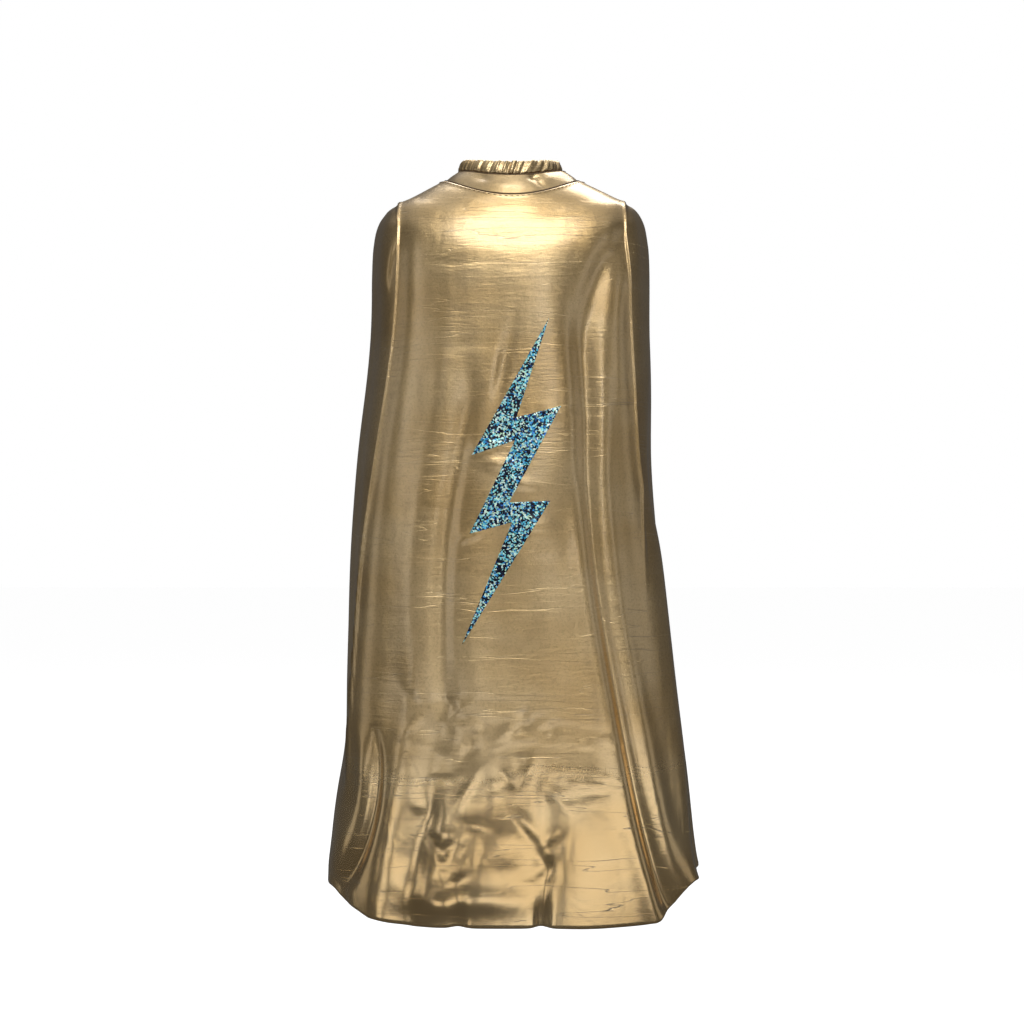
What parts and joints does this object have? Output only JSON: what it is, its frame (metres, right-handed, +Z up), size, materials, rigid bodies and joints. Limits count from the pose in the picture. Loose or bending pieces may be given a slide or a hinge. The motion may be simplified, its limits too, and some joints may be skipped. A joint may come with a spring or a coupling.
{
  "type": "superhero cape",
  "caption": "Bag-lined foil cloth cape for a child, with collar stand, gathered elastic neckband, front hook-and-loop tab and lightning bolt on the back.",
  "frame": {"origin": "centre of the neck opening", "axes": "+Z up along the wearer's neck, +Y the way the wearer faces, +X to the wearer's left as the back is seen"},
  "size_m": [0.3741, 0.1702, 0.7497],
  "materials": {
    "foil_cloth": "metallic gold foil on knit cloth",
    "lining_cloth": "smooth satin lining in dark gold",
    "stiffener": "non-woven stiffener",
    "elastic": "braided elastic",
    "loop_tape": "brushed loop tape",
    "hook_tape": "moulded hook tape",
    "bond_web": "bond web",
    "holographic_film": "glittering holographic film",
    "thread": "twisted polyester thread",
    "label_cloth": "woven label tape"
  },
  "bodies": {
    "cape": {"outer_shell": "foil_cloth", "lining": "lining_cloth", "hem_facing": "foil_cloth", "front_facing_right": "foil_cloth", "front_facing_left": "foil_cloth", "collar_stand": "foil_cloth", "collar_interfacing": "stiffener", "collar_lining": "lining_cloth", "neckband": "foil_cloth", "neck_elastic": "elastic", "tab_base": "foil_cloth", "hook_pad": "hook_tape", "bolt_bond_web": "bond_web", "lightning_bolt": "holographic_film", "collar_topstitch": "thread", "neckband_stitch": "thread", "front_stitch_right": "thread", "front_stitch_left": "thread", "hem_stitch": "thread", "tab_base_stitch": "thread", "hem_tacks": "thread", "care_label": "label_cloth"},
    "tab": {"closure_tab": "foil_cloth", "loop_pad": "loop_tape", "loop_pad_stitch": "thread"}
  },
  "joints": [
    {"name": "tab_peel", "type": "hinge", "parent": "cape", "child": "tab", "pos_m": [0.01332, 0.06324, -0.02697], "axis": [0.1114, 0.5193, -0.8473], "range_deg": [0, 110]}
  ]
}
